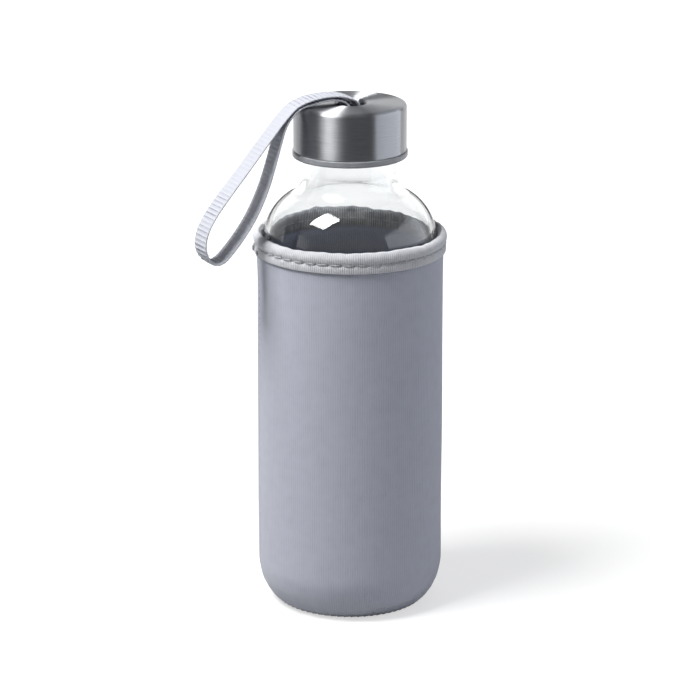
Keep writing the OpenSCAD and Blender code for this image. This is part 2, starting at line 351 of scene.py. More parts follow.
# height less radius runs evenly over the flat top, the rounded edge and the side
across = add(tree, "ShaderNodeMath", {0: split.outputs["Z"], 1: reach}, operation="SUBTRACT")
HAIR_LINE = 0.22 * MM
lines_at = add(tree, "ShaderNodeMath", {0: across}, {1: 1 / HAIR_LINE}, operation="MULTIPLY")
side = add(tree, "ShaderNodeSeparateXYZ", {0: unit})
stroke_x = add(tree, "ShaderNodeMath", {0: side.outputs["X"]}, {1: 3.0}, operation="MULTIPLY")
stroke_y = add(tree, "ShaderNodeMath", {0: side.outputs["Y"]}, {1: 3.0}, operation="MULTIPLY")
stroke = add(tree, "ShaderNodeCombineXYZ", {"X": stroke_x, "Y": stroke_y, "Z": lines_at})
hair = add(tree, "ShaderNodeTexNoise", {"Vector": stroke}, {"Scale": 1.0, "Detail": 3.0})
tone = add(tree, "ShaderNodeValToRGB", {"Fac": hair.outputs[0]},
           stops=[(0.3, linear("#B2B4B8")), (0.7, linear("#C9CACC"))])
rough = add(tree, "ShaderNodeValToRGB", {"Fac": hair.outputs[0]},
            stops=[(0.3, grey(0.31)), (0.7, grey(0.46))])
groove = add(tree, "ShaderNodeBump", {"Height": hair.outputs[0]},
             {"Strength": 0.35, "Distance": 0.012 * MM})
circle = add(tree, "ShaderNodeTangent", direction_type="RADIAL", axis="Z")
# the flat top is brushed coarser than the side
steel_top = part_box("cap_shell")[1][2]
coarse = add(tree, "ShaderNodeMapRange", {"Value": split.outputs["Z"]},
             {"From Min": steel_top - 0.8 * MM, "From Max": steel_top, "To Min": 0.0,
              "To Max": 0.09})
rough = add(tree, "ShaderNodeMath", {0: rough, 1: coarse}, operation="ADD")
feed(tree, surface, Base_Color=tone, Roughness=rough, Normal=groove, Tangent=circle)
print(steel.name, "with hair lines", HAIR_LINE, "m apart")

# %% drawn steel, clear glass, moulded plastic, silicone
# Drawn stainless wire: bright, with faint lines along its length.
wire, tree, surface = new_finish("drawn stainless wire", Metallic=1.0)
where = add(tree, "ShaderNodeTexCoord").outputs["Object"]
turned = add(tree, "ShaderNodeMapping", {"Vector": where},
             {"Rotation": (0, 0, math.radians(-112)), "Scale": (200, 4000, 4000)})
draw = add(tree, "ShaderNodeTexNoise", {"Vector": turned}, {"Scale": 1.0, "Detail": 2.0})
tone = add(tree, "ShaderNodeValToRGB", {"Fac": draw.outputs[0]},
           stops=[(0.3, linear("#B5B6B8")), (0.7, linear("#CFCFD0"))])
rough = add(tree, "ShaderNodeValToRGB", {"Fac": draw.outputs[0]},
            stops=[(0.3, grey(0.18)), (0.7, grey(0.28))])
feed(tree, surface, Base_Color=tone, Roughness=rough)

# Soda-lime glass, blown in a mould: fire-polished outside, a little wavy, almost colourless.
clear_glass, tree, surface = new_finish("blown soda-lime glass", Roughness=0.0, IOR=1.52,
                                        Transmission_Weight=1.0)
surface.inputs["Base Color"].default_value = linear("#FEFFFF")
where = add(tree, "ShaderNodeTexCoord").outputs["Object"]
long_wave = add(tree, "ShaderNodeMapping", {"Vector": where}, {"Scale": (70, 70, 25)})
swell = add(tree, "ShaderNodeTexNoise", {"Vector": long_wave}, {"Scale": 1.0, "Detail": 1.0})
ripple = add(tree, "ShaderNodeBump", {"Height": swell.outputs[0]},
             {"Strength": 0.2, "Distance": 0.12 * MM})
feed(tree, surface, Normal=ripple)
# thick glass takes a little light away, so the edges, where the way through is long, look greyer
body = add(tree, "ShaderNodeVolumeAbsorption",
           values={"Color": (0.05, 0.08, 0.10, 1.0), "Density": 20.0})
feed(tree, tree.nodes["finish"], Volume=body)

# Polypropylene, injection moulded: an even satin with a very fine spark-eroded grain.
cap_plastic, tree, surface = new_finish("moulded polypropylene", Specular_IOR_Level=0.5, IOR=1.49)
where = add(tree, "ShaderNodeTexCoord").outputs["Object"]
grain = add(tree, "ShaderNodeTexNoise", {"Vector": where}, {"Scale": 3500.0, "Detail": 2.0})
cloud = add(tree, "ShaderNodeTexNoise", {"Vector": where}, {"Scale": 160.0, "Detail": 2.0})
tone = add(tree, "ShaderNodeValToRGB", {"Fac": cloud.outputs[0]},
           stops=[(0.3, linear("#8C8E92")), (0.7, linear("#96989C"))])
rough = add(tree, "ShaderNodeValToRGB", {"Fac": cloud.outputs[0]},
            stops=[(0.3, grey(0.26)), (0.7, grey(0.36))])
skin = add(tree, "ShaderNodeBump", {"Height": grain.outputs[0]},
           {"Strength": 0.2, "Distance": 0.02 * MM})
feed(tree, surface, Base_Color=tone, Roughness=rough, Normal=skin)

# Silicone, compression moulded: milky white, softly matt, with a fine dusty grain.
silicone, tree, surface = new_finish("moulded silicone", IOR=1.41, Subsurface_Weight=0.3,
                                     Subsurface_Scale=0.6 * MM)
where = add(tree, "ShaderNodeTexCoord").outputs["Object"]
dust = add(tree, "ShaderNodeTexNoise", {"Vector": where}, {"Scale": 1200.0, "Detail": 3.0})
tone = add(tree, "ShaderNodeValToRGB", {"Fac": dust.outputs[0]},
           stops=[(0.3, linear("#E4E4E0")), (0.7, linear("#F0F0EC"))])
rough = add(tree, "ShaderNodeValToRGB", {"Fac": dust.outputs[0]},
            stops=[(0.3, grey(0.45)), (0.7, grey(0.6))])
feed(tree, surface, Base_Color=tone, Roughness=rough)
print("hard finishes:", [m.name for m in (steel, wire, clear_glass, cap_plastic, silicone)])

# %% [markdown]
# ## Finishes: cloth, tape, webbing and thread
# Cloth gets its look from yarn. On knit, tape and webbing the pattern follows the piece's own
# surface map, which is in metres, so a pitch can be written down in millimetres as it would be
# counted on the cloth. Thread is so thin that its twist can simply follow where it lies.

# %% cloth finishes
def surface_map(tree):
    """The piece's own map as two numbers in metres: round or across it, and along it."""
    node = add(tree, "ShaderNodeUVMap", uv_map="surface")
    parts = add(tree, "ShaderNodeSeparateXYZ", {0: node})
    return node, parts.outputs["X"], parts.outputs["Y"]


def wave_of(tree, source, pitch, shift=0.0):
    """A sine from 0 to 1 that repeats every pitch of a coordinate in metres."""
    turns = add(tree, "ShaderNodeMath", {0: source}, {1: 2 * math.pi / pitch, 2: shift},
                operation="MULTIPLY_ADD")
    node = add(tree, "ShaderNodeMath", {0: turns}, operation="SINE")
    return add(tree, "ShaderNodeMath", {0: node}, {1: 0.5, 2: 0.5}, operation="MULTIPLY_ADD")


# Jersey knit bonded to foam rubber: columns of small stitches stand as fine upright ribs,
# 0.9 mm apart. The yarn is matt, with a soft haze of fibre ends that lightens the edges.
WALE, COURSE = 0.9 * MM, 0.62 * MM


def knit_finish(name, dark, light):
    """Jersey: upright columns of stitches, rows across them, fibre haze and slow colour drift."""
    material, tree, surface = new_finish(name, Sheen_Weight=0.25, Sheen_Roughness=0.5,
                                         Specular_IOR_Level=0.2)
    uv, round_it, up_it = surface_map(tree)
    wale = wave_of(tree, round_it, WALE)
    course = wave_of(tree, up_it, COURSE)
    fibre = add(tree, "ShaderNodeTexNoise", {"Vector": uv}, {"Scale": 2600.0, "Detail": 3.0})
    patch = add(tree, "ShaderNodeTexNoise", {"Vector": uv}, {"Scale": 240.0, "Detail": 4.0})
    stitch = add(tree, "ShaderNodeMath", {0: course, 1: wale}, operation="MULTIPLY")
    column = add(tree, "ShaderNodeMath", {0: stitch, 2: wale}, {1: 0.35}, operation="MULTIPLY_ADD")
    height = add(tree, "ShaderNodeMath", {0: fibre.outputs[0], 2: column}, {1: 0.5},
                 operation="MULTIPLY_ADD")
    weave = add(tree, "ShaderNodeBump", {"Height": height}, {"Strength": 0.5, "Distance": 0.1 * MM})
    shade = add(tree, "ShaderNodeMath", {0: patch.outputs[0], 2: column}, {1: 1.3},
                operation="MULTIPLY_ADD")
    tone = add(tree, "ShaderNodeValToRGB", {"Fac": shade},
               stops=[(0.35, linear(dark)), (1.75, linear(light))])
    rough = add(tree, "ShaderNodeValToRGB", {"Fac": fibre.outputs[0]},
                stops=[(0.3, grey(0.82)), (0.7, grey(0.95))])
    feed(tree, surface, Base_Color=tone, Roughness=rough, Normal=weave)
    return material


knit = knit_finish("jersey knit on foam", "#989BA6", "#ACAFBB")
# painted shade: a darker copy of the knit for the face inside the sleeve, shade painted into its
# colour
shaded_lining = knit_finish("jersey lining", "#6F758C", "#878DA6")


# rib pitches: the webbing's, and the tape's, a whole number of ribs round the sleeve's mouth
LOOP_RIB = 1.7 * MM
TAPE_R, TAPE_RIBS = 35.5, 279
TAPE_RIB = 2 * math.pi * TAPE_R * MM / TAPE_RIBS


def groove_shade(tree, pitch):
    """Painted shade: 1 on rib tops, less in the grooves, from the same count that raised them."""
    node = add(tree, "ShaderNodeAttribute", attribute_name="along")
    turns = add(tree, "ShaderNodeMath", {0: node.outputs["Fac"]},
                {1: math.pi / pitch}, operation="MULTIPLY")
    wave = add(tree, "ShaderNodeMath", {0: turns}, operation="SINE")
    size = add(tree, "ShaderNodeMath", {0: wave}, operation="ABSOLUTE")
    top = add(tree, "ShaderNodeMath", {0: size}, {1: RIB_BLUNT}, operation="POWER")
    low = add(tree, "ShaderNodeMath", {1: top}, {0: 1.0}, operation="SUBTRACT")
    bold = add(tree, "ShaderNodeAttribute", attribute_name="rib")
    depth = add(tree, "ShaderNodeMath", {0: low, 1: bold.outputs["Fac"]}, operation="MULTIPLY")
    return add(tree, "ShaderNodeMath", {1: depth}, {0: 1.0}, operation="SUBTRACT")


# Ribbed polyester tape: ribs are real geometry; the finish adds yarn, patchy tone, painted shade.
tape, tree, surface = new_finish("ribbed binding tape", Sheen_Weight=0.2, Sheen_Roughness=0.45,
                                 Specular_IOR_Level=0.3)
uv, round_it, up_it = surface_map(tree)
pick = wave_of(tree, up_it, 0.42 * MM)
fibre = add(tree, "ShaderNodeTexNoise", {"Vector": uv}, {"Scale": 3000.0, "Detail": 3.0})
patch = add(tree, "ShaderNodeTexNoise", {"Vector": uv}, {"Scale": 300.0, "Detail": 3.0})
height = add(tree, "ShaderNodeMath", {0: fibre.outputs[0], 2: pick}, {1: 0.8},
             operation="MULTIPLY_ADD")
weave = add(tree, "ShaderNodeBump", {"Height": height}, {"Strength": 0.4, "Distance": 0.06 * MM})
groove = groove_shade(tree, TAPE_RIB)
shade = add(tree, "ShaderNodeMath", {0: patch.outputs[0], 2: groove}, {1: 0.8},
            operation="MULTIPLY_ADD")
# painted shade: the side against the bottle, inside the sleeve, is painted darker
inside = add(tree, "ShaderNodeAttribute", attribute_name="inside")
shaded_inside = add(tree, "ShaderNodeMath", {0: inside.outputs["Fac"], 2: shade}, {1: -0.65},
             operation="MULTIPLY_ADD")
tone = add(tree, "ShaderNodeValToRGB", {"Fac": shaded_inside},
           stops=[(0.35, linear("#64666C")), (1.3, linear("#C9CACE"))])
rough = add(tree, "ShaderNodeValToRGB", {"Fac": fibre.outputs[0]},
            stops=[(0.3, grey(0.65)), (0.7, grey(0.85))])
feed(tree, surface, Base_Color=tone, Roughness=rough, Normal=weave)

# Woven polyester webbing, near white with a cool cast: cross ribs are real geometry, and a
# slanting twill of fine yarns runs over them, with a slight gloss.
webbing, tree, surface = new_finish("woven polyester webbing", Sheen_Weight=0.15,
                                    Sheen_Roughness=0.4, Specular_IOR_Level=0.35)
uv, over_it, along_it = surface_map(tree)
slant = add(tree, "ShaderNodeMath", {0: over_it, 2: along_it}, {1: 0.7}, operation="MULTIPLY_ADD")
twill = wave_of(tree, slant, 0.45 * MM)
yarn = wave_of(tree, over_it, 0.4 * MM)
fibre = add(tree, "ShaderNodeTexNoise", {"Vector": uv}, {"Scale": 2800.0, "Detail": 3.0})
patch = add(tree, "ShaderNodeTexNoise", {"Vector": uv}, {"Scale": 350.0, "Detail": 3.0})
height = add(tree, "ShaderNodeMath", {0: fibre.outputs[0], 2: twill}, {1: 0.6},
             operation="MULTIPLY_ADD")
weave = add(tree, "ShaderNodeBump", {"Height": height}, {"Strength": 0.45, "Distance": 0.07 * MM})
# painted shade: the grooves between the webbing's ribs are darker, more so where the ribs are bold
yarns_and_groove_shade = add(tree, "ShaderNodeMath", {0: yarn, 2: groove_shade(tree, LOOP_RIB)}, {1: 0.3},
            operation="MULTIPLY_ADD")
shade = add(tree, "ShaderNodeMath", {0: patch.outputs[0], 2: yarns_and_groove_shade}, {1: 0.6},
            operation="MULTIPLY_ADD")
tone = add(tree, "ShaderNodeValToRGB", {"Fac": shade},
           stops=[(0.35, linear("#66686F")), (1.5, linear("#BCBEC6"))])
rough = add(tree, "ShaderNodeValToRGB", {"Fac": fibre.outputs[0]},
            stops=[(0.3, grey(0.5)), (0.7, grey(0.7))])
feed(tree, surface, Base_Color=tone, Roughness=rough, Normal=weave)


def thread_finish(name, dark, light):
    """Spun polyester thread: two plies twisted together, matt, a little darker in the twist."""
    material, tree, surface = new_finish(name, Sheen_Weight=0.2, Sheen_Roughness=0.4,
                                         Specular_IOR_Level=0.25)
    where = add(tree, "ShaderNodeTexCoord").outputs["Object"]
    twist = add(tree, "ShaderNodeTexWave", {"Vector": where},
                {"Scale": 420.0, "Distortion": 1.5, "Detail": 1.0}, bands_direction="DIAGONAL")
    fibre = add(tree, "ShaderNodeTexNoise", {"Vector": where}, {"Scale": 4000.0, "Detail": 2.0})
    tone = add(tree, "ShaderNodeValToRGB", {"Fac": twist.outputs[0]},
               stops=[(0.2, linear(dark)), (0.8, linear(light))])
    rough = add(tree, "ShaderNodeValToRGB", {"Fac": fibre.outputs[0]},
                stops=[(0.3, grey(0.7)), (0.7, grey(0.9))])
    plies = add(tree, "ShaderNodeBump", {"Height": twist.outputs[0]},
                {"Strength": 0.4, "Distance": 0.05 * MM})
    feed(tree, surface, Base_Color=tone, Roughness=rough, Normal=plies)
    return material


pale_thread = thread_finish("spun thread pale grey", "#98999E", "#B2B3B8")
slate_thread = thread_finish("spun thread slate", "#6E717D", "#8B8F9C")
frayed = thread_finish("frayed tape end", "#5A5B60", "#7E7F85")
soft_finishes = (knit, shaded_lining, tape, webbing, pale_thread, slate_thread, frayed)
print("soft finishes:", [m.name for m in soft_finishes])

# %% [markdown]
# ## Webbing
# Each ring of the loop is a flat oval of 24 points, 9 mm across. It is set square to the path
# and turned to the heading, then the rule above raises the cross ribs. Both faces have them, a
# little bolder on the inner one, and they stand open where the loop bends.

# %% carry loop
STRAP_W, STRAP_T = 9.0 * MM, 1.0 * MM


def oval(count):
    """Flat oval section: share across the width, share through the thickness."""
    turns = np.arange(count) * 2 * np.pi / count + np.pi / count
    x, y = np.cos(turns), np.sin(turns)
    return np.sign(x) * np.abs(x) ** 0.45, np.sign(y) * np.abs(y) ** 0.35


def ring_faces(rings, sides):
    """Quads between rings of points, each ring closed on itself."""
    return [[i * sides + k, i * sides + (k + 1) % sides, (i + 1) * sides + (k + 1) % sides,
             (i + 1) * sides + k] for i in range(rings - 1) for k in range(sides)]


def build_loop():
    """The webbing along its route, with the numbers that its ribs need at each point."""
    path = loop_path
    ahead = np.gradient(path, axis=0)
    ahead /= np.linalg.norm(ahead, axis=1)[:, None]
    heading = np.radians(np.interp(path[:, 0] / MM, LOOP_HEADING[:, 0], LOOP_HEADING[:, 1]))
    over = np.stack([-np.sin(heading), np.cos(heading), np.zeros(len(path))], axis=1)
    through = np.cross(over, ahead)
    through /= np.linalg.norm(through, axis=1)[:, None]
    over = np.cross(ahead, through)
    run = np.arange(len(path)) * loop_length / (len(path) - 1)
    across_share, through_share = oval(24)
    # selvedges: the edge yarns pull in a little between ribs, and the width wanders slightly
    half_w = STRAP_W / 2 * (0.985 + 0.010 * np.sin(2 * np.pi * run / LOOP_RIB)
                            + 0.008 * np.sin(2 * np.pi * run / 0.031))
    crown = 1 - 0.12 * np.abs(across_share) ** 2
    grid = (path[:, None, :]
            + over[:, None, :] * (half_w[:, None] * across_share[None, :])[:, :, None]
            + through[:, None, :] * (STRAP_T / 2 * 0.86 * crown * through_share)[None, :, None])
    rings, sides = grid.shape[:2]
    faces = ring_faces(rings, sides)
    faces.append(list(range(sides))[::-1])
    faces.append([(rings - 1) * sides + k for k in range(sides)])
    edge = across_share * STRAP_W / 2
    uv = [(edge[p % sides], run[p // sides]) for face in faces for p in face]
    obj = piece("carry_loop", grid.reshape(-1, 3), faces, uv)
    mark(obj, "along", np.repeat(run, sides))
    # how strong the ribs are round the section: they fade out at the selvedges
    by_side = np.where(through_share > 0, 1.0, 1.1) * (1 - np.abs(across_share) ** 12)
    # the ribs stand open where the loop bends, over the cap and at its far end
    out_x = path[:, 0] / MM
    bent_and_shaded = np.clip((out_x + 22) / 8, 0, 1) + np.clip((-43 - out_x) / 7, 0, 1)
    vary = (0.55 + 0.6 * bent_and_shaded) * (1 + 0.2 * np.sin(2 * np.pi * run / 0.023)
                                  + 0.15 * np.sin(2 * np.pi * run / 0.0071))
    # the rib strength also sets how dark the finish paints the grooves: painted shade, greyest over
    # the cap and at the far bend
    mark(obj, "rib", vary[:, None] * by_side[None, :])
    return obj


carry_loop = build_loop()
grow(carry_loop, ribs, rib_pitch=LOOP_RIB, rib_height=0.36 * MM, material=webbing)
finish_piece(carry_loop, "strap", webbing, "webbing", "strap_loop")

# %% [markdown]
# ## Glass bottle
# A lathe outline gives the wall its real thickness: up the outside, over the lip and down the
# inside, one closed skin, which is what lets the light bend at both surfaces. The screw thread
# isn't laid on top: the neck's own points are pushed out along a climbing line, so the glass
# stays one body. The inside of blown glass is never quite true, so it wanders by up to a tenth
# of a millimetre.

# %% glass bottle
BODY_R, WALL, NECK_R = 32.2, 2.3, 17.2
SHOULDER, SHOULDER_R = (11.9, 139.0), 20.3
THROAT, THROAT_R = (26.2, 164.573), 9.0
LEAN = math.degrees(math.atan2(THROAT[1] - SHOULDER[1], THROAT[0] - SHOULDER[0]))
STRETCH, LEAD = 1.1, 4.0


def thread_rise(height, angle, start_z, turns, tall):
    """How far the screw's ridge, one lead up for each turn, stands out at each place."""
    rise = np.zeros_like(height)
    for lap in range(-1, 3):
        t = (angle - np.pi / 2) / (2 * np.pi) + lap
        fade = np.clip(np.minimum(t, turns - t) * 8, 0, 1)
        off = np.abs(height - (start_z + LEAD * t))
        ridge = np.clip((1.1 - off) / 0.65, 0, 1)
        ridge = ridge * ridge * (3 - 2 * ridge)
        rise = np.maximum(rise, tall * ridge * fade)
    return rise


def blown(radius, height, angle):
    """The outside takes the thread, the inside wanders."""
    outside = np.zeros_like(radius)
    outside[:glass_outside] = 1
    outside *= (height > 171) & (radius > 16.9)
    radius = radius + outside * thread_rise(height, angle, 174.8, 1.6, 1.3)
    inside = np.zeros_like(radius)
    inside[glass_outside:] = 1
    sway = (0.05 * np.sin(3 * angle + height / 9) + 0.03 * np.sin(7 * angle - height / 5)
            + 0.03 * np.sin(2 * angle + height / 3.1))
    return radius + inside * sway * np.clip(radius / 10, 0, 1), height


dome_r = (14 ** 2 + 2.5 ** 2) / (2 * 2.5)
base = [(r, 2.25 + 2.5 - dome_r + math.sqrt(dome_r ** 2 - r * r)) for r in np.linspace(0, 13.4, 12)]
base += [(14.0, 2.32), (14.6, 2.25), (17.0, 2.25)]
wall = arc((18.2, 16.25), 14.0, -88, 0, 22)
wall += [(BODY_R, z) for z in np.linspace(22, 134, 18)]
wall += arc(SHOULDER, SHOULDER_R, 0, LEAN, 40)
wall += arc(THROAT, THROAT_R, 180 + LEAN, 180, 20)[1:]
wall += [(NECK_R, z) for z in np.linspace(166.5, 185.7, 76)]
wall += arc((NECK_R - 1.15, 185.85), 1.15, 0, 180, 14)
glass_outside = len(base) + len(wall)
inner = [(NECK_R - WALL, z) for z in np.linspace(184.5, 165.5, 12)]
# blown glass stretches thin where the shoulder turns into the neck: both inner curves move up it
inner += arc((THROAT[0] - STRETCH, THROAT[1]), THROAT_R + WALL - STRETCH, 180, 180 + LEAN, 18)
inner += arc((SHOULDER[0] - STRETCH, SHOULDER[1]), SHOULDER_R - WALL + STRETCH, LEAN, 0, 34)[1:]
inner += [(BODY_R - WALL, z) for z in np.linspace(134, 22, 18)]
inner += arc((20.7, 16.2), 9.2, 0, -90, 16)
inner += [(r, 7.0 + 1.3 * (1 - (r / 18) ** 2)) for r in np.linspace(18, 0, 9)]
glass_bottle = lathe("bottle_glass", base + wall + inner, 224, closed=False, shape=blown)
finish_piece(glass_bottle, "bottle", clear_glass, "glass", "glass_bottle")

# %% [markdown]
# ## Cap
# The steel shell is a thin cup with its hole's edge turned down, so no raw edge rubs the
# webbing. The plastic insert carries the screw thread, a closed well under the hole and the
# rim that shows as a grey line below the steel. A silicone ring seals it on the glass lip, and
# a short steel bar across the well holds the loop.

# %% cap shell
SHELL_R, SHELL_T, CAP_TOP, SHELL_LOW, EDGE_R = 20.75, 0.55, 190.65, 173.15, 1.5
HOLE_R, LIP_R = 5.8, 1.0
edge_at = (SHELL_R - EDGE_R, CAP_TOP - EDGE_R)
lip_at = (HOLE_R + LIP_R, CAP_TOP - LIP_R)
outline = arc((SHELL_R - SHELL_T / 2, SHELL_LOW + SHELL_T / 2), SHELL_T / 2, -180, 0, 9)
outline += [(SHELL_R, z) for z in np.linspace(SHELL_LOW + 0.6, edge_at[1] - 0.3, 30)]
outline += arc(edge_at, EDGE_R, 0, 90, 16)
outline += [(r, CAP_TOP) for r in np.linspace(edge_at[0] - 0.4, lip_at[0] + 0.3, 26)]
outline += arc(lip_at, LIP_R, 90, 180, 12)
outline += [(HOLE_R + 0.08, lip_at[1] - 0.25), (HOLE_R + SHELL_T - 0.08, lip_at[1] - 0.25)]
outline += arc(lip_at, LIP_R - SHELL_T, 180, 90, 8)
outline += [(r, CAP_TOP - SHELL_T) for r in np.linspace(lip_at[0] + 1, edge_at[0] - 1, 6)]
outline += arc(edge_at, EDGE_R - SHELL_T, 90, 0, 8)
cap_shell = lathe("cap_steel_shell", outline, 256)
finish_piece(cap_shell, "cap", steel, "steel", "cap_shell")

# %% cap insert, seal and bar
LINER_R, BORE_R, RIM_R, LINER_LOW, LINER_TOP = 20.15, 19.2, 21.2, 170.8, 190.05
DISC_Z, WELL_LOW = 188.35, 180.2


def threaded_insert(radius, height, angle):
    """The bore's own points are pulled in along the climbing line."""
    bore = (np.abs(radius - BORE_R) < 0.02) & (height < DISC_Z - 0.5)
    rise = thread_rise(height, angle, 173.3, 1.5, BORE_R - NECK_R - 0.4)
    return radius - np.where(bore, rise, 0), height


outline = [(0, WELL_LOW + 1.2), (5.6, WELL_LOW + 1.2), (6.6, WELL_LOW + 1.4)]
outline += [(6.8, WELL_LOW + 1.9), (6.8, 188.9), (6.86, 189.1), (6.86, LINER_TOP - 0.15)]
outline += [(7.0, LINER_TOP), (18.9, LINER_TOP)]
outline += arc((18.95, LINER_TOP - 1.2), 1.2, 85, 0, 6)
outline += [(LINER_R, 180), (LINER_R, 173.25), (LINER_R + 0.1, 173.1), (RIM_R - 0.3, 173.1)]
outline += arc((RIM_R - 0.3, 172.8), 0.3, 80, 0, 5)
outline += [(RIM_R, z) for z in np.linspace(172.5, 171.5, 4)]
outline += arc((RIM_R - 0.6, LINER_LOW + 0.6), 0.6, 0, -90, 7)
outline += [(BORE_R + 0.4, LINER_LOW)]
outline += arc((BORE_R + 0.3, LINER_LOW + 0.3), 0.3, -90, -180, 4)
outline += [(BORE_R, z) for z in np.linspace(LINER_LOW + 0.6, 182, 46)]
outline += [(BORE_R, DISC_Z - 0.4), (BORE_R - 0.3, DISC_Z), (8.3, DISC_Z), (8.0, DISC_Z - 0.3)]
outline += [(8.0, WELL_LOW + 0.8), (7.7, WELL_LOW + 0.2), (7.0, WELL_LOW), (0, WELL_LOW)]
cap_liner = lathe("cap_plastic_insert", outline[::-1], 192, closed=False, shape=threaded_insert)
finish_piece(cap_liner, "cap", cap_plastic, "liner_plastic", "cap_liner")

ring_low, ring_high, ring_in, ring_out = 187.05, 188.25, 14.3, 17.8
outline = []
corners = ((ring_out - 0.25, ring_low + 0.25), (ring_out - 0.25, ring_high - 0.25),
           (ring_in + 0.25, ring_high - 0.25), (ring_in + 0.25, ring_low + 0.25))
for corner, turn in zip(corners, (-90, 0, 90, 180)):
    outline += arc(corner, 0.25, turn, turn + 90, 5)
seal_ring = lathe("seal_silicone_ring", outline, 128)
finish_piece(seal_ring, "seal", silicone, "seal_rubber", "seal_ring")

BAR_LENGTH, BAR_R, BAR_Z, BAR_TURN = 15.2, 1.2, 188.4, 112
outline = [(0, -BAR_LENGTH / 2)] + arc((BAR_R - 0.25, 0.25 - BAR_LENGTH / 2), 0.25, -90, 0, 5)
outline += [(BAR_R, z) for z in np.linspace(-6, 6, 5)]
outline += arc((BAR_R - 0.25, BAR_LENGTH / 2 - 0.25), 0.25, 0, 90, 5) + [(0, BAR_LENGTH / 2)]
strap_bar = lathe("loop_bar", outline, 40, closed=False)
strap_bar.data.transform(Matrix.Translation((0, 0, BAR_Z * MM))
                         @ Matrix.Rotation(math.radians(BAR_TURN), 4, "Z")
                         @ Matrix.Rotation(math.pi / 2, 4, "Y"))
finish_piece(strap_bar, "cap", wire, "bar_steel", "strap_bar")

# %% [markdown]
# ## Sleeve
# The sleeve is one tube of foam cloth pulled over the bottle: it follows the glass closely, so
# a lathe with small, slow unevenness looks right where a simulated drape would only crumple
# it. Its two edges meet in an upright seam on the left, where the cloth dips, and the heel
# puckers where it is sewn to the round base.

# %% sleeve tube
SLEEVE_R, FOAM_T, SLEEVE_COLUMNS = 34.5, 2.0, 432
SLEEVE_IN = SLEEVE_R - FOAM_T
SEAM_TURN, STITCH_PITCH = math.radians(192), 2.5


def stitches_round(radius):
    """How many stitches go round at a radius in mm."""
    return round(2 * np.pi * radius / STITCH_PITCH)


def seam_distance(angle, radius):
    """Arc distance in mm from the upright seam."""
    off = (angle - SEAM_TURN + np.pi) % (2 * np.pi) - np.pi
    return off * radius


def worn_tube(radius, height, angle):
    """The outside sways slowly, dips at the seam and puckers at the heel."""
    outer = np.zeros_like(radius)
    outer[:sleeve_outside] = 1
    sway = (0.10 * np.sin(2 * angle + height / 31) + 0.07 * np.sin(3 * angle - height / 19 + 1)
            + 0.05 * np.sin(5 * angle + height / 11 + 2))
    body = np.clip((height - 12) / 20, 0, 1) * np.clip((133 - height) / 8, 0, 1)
    radius = radius + outer * body * (sway - 0.12)
    # the two edges of the cloth roll into the seam
    off = seam_distance(angle, SLEEVE_R)
    dip = 0.5 * np.exp(-(off / 0.4) ** 2) - 0.12 * np.exp(-((np.abs(off) - 1.2) / 0.6) ** 2)
    pull = 1 + 0.25 * np.cos(2 * np.pi * height / STITCH_PITCH)
    radius = radius - outer * dip * pull * np.clip((height - 3) / 6, 0, 1) * (height < 134.5)
    # puckers where the overlocked thread draws the heel to the base
    count = stitches_round(27)
    pucker = np.exp(-np.clip(height - 0.6, 0, None) / 1.9)
    radius = radius + outer * pucker * 0.5 * (np.abs(np.sin(count * angle / 2)) ** 0.7 - 0.5)
    return radius, height


heel = [(25.2, 0.1), (26.0, 0.15), (27.0, 0.45), (28.0, 1.0), (28.9, 1.8), (29.9, 2.75),
        (30.7, 3.9), (31.6, 5.2), (32.3, 6.7), (33.0, 8.2), (33.5, 9.9), (33.9, 11.6),
        (34.25, 13.3), (34.45, 15.0), (SLEEVE_R, 16.5), (SLEEVE_R, 134.8)]
outside = spaced(heel[2:], 1.5)
outside += [(34.3, 135.0), (33.92, 135.2)] + [(33.9, z) for z in np.linspace(135.6, 141.2, 6)]
sleeve_outside = len(outside)
inside = [(33.4, 141.3), (33.26, 141.2), (33.25, 138), (33.25, 134.7), (32.9, 134.0),
          (32.55, 133.4)]
inside += spaced([(SLEEVE_IN, 132.0), (SLEEVE_IN, 16.5)], 6.0)
inside += [(32.2, 13.6), (31.5, 10.6), (30.4, 7.8), (29.2, 5.6), (27.6, 3.6), (26.0, 2.6),
           (26.2, 1.4)]
sleeve_tube = lathe("sleeve_foam_cloth", outside + inside, SLEEVE_COLUMNS, shape=worn_tube)
finish_piece(sleeve_tube, "sleeve", knit, "foam_cloth", "sleeve_body")
# the side that faces the bottle gets the darker copy of the knit: painted shade inside the sleeve
sleeve_tube.data.materials.append(shaded_lining)
for face in sleeve_tube.data.polygons:
    row = face.index // SLEEVE_COLUMNS
    face.material_index = int(sleeve_outside <= row < len(outside + inside) - 1)

# %% sleeve base
outline = [(0, 0.12)] + [(r, 0.12 - 0.1 * (r / 25.5)) for r in np.linspace(4, 24.8, 9)]
outline += [(25.3, 0.1), (25.55, 0.4), (25.5, 1.0), (25.2, 1.9), (24.6, 2.18)]
outline += [(r, 2.2) for r in np.linspace(24, 4, 8)] + [(0, 2.2)]


def puckered_base(radius, height, angle):
    """The rim is drawn in a little at every stitch."""
    count = stitches_round(25.5)
    edge = np.clip((radius - 22) / 3.5, 0, 1)
    return radius - edge * 0.15 * np.abs(np.sin(count * angle / 2)), height


sleeve_base = lathe("sleeve_cloth_base", outline, 256, closed=False, shape=puckered_base)
finish_piece(sleeve_base, "sleeve", knit, "foam_cloth", "sleeve_base")

# %% [markdown]
# ## Bound mouth
# Ribbed tape is folded over the raw edge and sewn through both legs. Above the stitching it
# stands proud in a soft roll, below it lies flat, and the row of stitches draws a valley. The
# tape isn't quite even, so its top edge rises and falls as it goes round.

# %% mouth binding
BINDING_LOW, BINDING_TOP = 134.9, 142.7
# the row of stitches: its height in mm, how many there are, and where it starts in degrees
BINDING_STITCH, BINDING_COUNT, STITCH_START = 138.45, 46, 198


